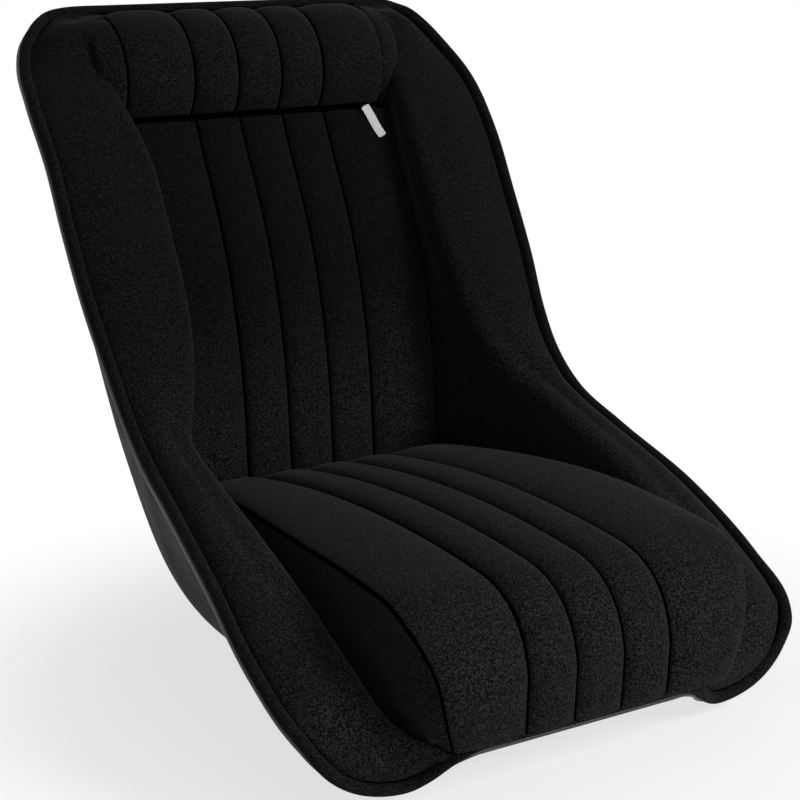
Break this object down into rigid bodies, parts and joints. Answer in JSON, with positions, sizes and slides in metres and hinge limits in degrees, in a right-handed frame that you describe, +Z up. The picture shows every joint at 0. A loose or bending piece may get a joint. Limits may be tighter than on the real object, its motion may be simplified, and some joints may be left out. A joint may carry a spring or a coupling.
{
  "type": "bucket racing seat",
  "caption": "Fixed-back moulded bucket racing seat, cloth trimmed, with padded wings, a fluted back and head roll, and a fluted lift-out cushion on hook tape.",
  "frame": {"origin": "middle of the four floor fixings, on the underside of the moulded feet", "axes": "+Z up, the seat faces -Y, +X to the viewer's right when looking at the front of the seat"},
  "size_m": [0.5534, 0.6892, 0.6199],
  "materials": {
    "moulded_shell": "glossy black moulding, smooth gel coat",
    "edge_cloth": "black velour rolled over the rim",
    "edge_trim": "black trim bead with a soft shine",
    "wing_cloth": "fine black velour",
    "fluted_cloth": "fine black velour, quilted in flutes",
    "lining": "plain black lining cloth",
    "foam": "grey upholstery foam, hidden",
    "hook_tape": "black hook and loop tape",
    "plate_steel": "black painted steel plate",
    "zinc_steel": "zinc plated",
    "tag": "pale woven tag, blank"
  },
  "bodies": {
    "seat": {"grp_shell": "moulded_shell", "edge_roll_left": "edge_cloth", "edge_roll_right": "edge_cloth", "edge_welt_left": "edge_trim", "edge_welt_right": "edge_trim", "wing_cover_lower_left": "wing_cloth", "wing_cover_lower_right": "wing_cloth", "wing_cover_upper_left": "wing_cloth", "wing_cover_upper_right": "wing_cloth", "wing_foam_lower_left": "foam", "wing_foam_lower_right": "foam", "wing_foam_upper_left": "foam", "wing_foam_upper_right": "foam", "head_roll_cap_left": "wing_cloth", "head_roll_cap_right": "wing_cloth", "head_roll_foam": "foam", "head_roll_cover": "fluted_cloth", "back_panel_foam": "foam", "back_panel_cover": "fluted_cloth", "base_pad": "foam", "hook_tapes": "hook_tape", "fixing_plate_left": "plate_steel", "fixing_plate_right": "plate_steel", "fixing_nuts": "zinc_steel", "tag_label": "tag"},
    "seat_cushion": {"cushion_cover": "fluted_cloth", "cushion_foam": "foam", "cushion_side_left": "wing_cloth", "cushion_side_right": "wing_cloth", "cushion_underside": "lining", "loop_tapes": "hook_tape"}
  },
  "joints": [
    {"name": "cushion_lift", "type": "slide", "parent": "seat", "child": "seat_cushion", "axis": [0, -0.5, 0.866], "range_m": [0, 0.25]}
  ]
}
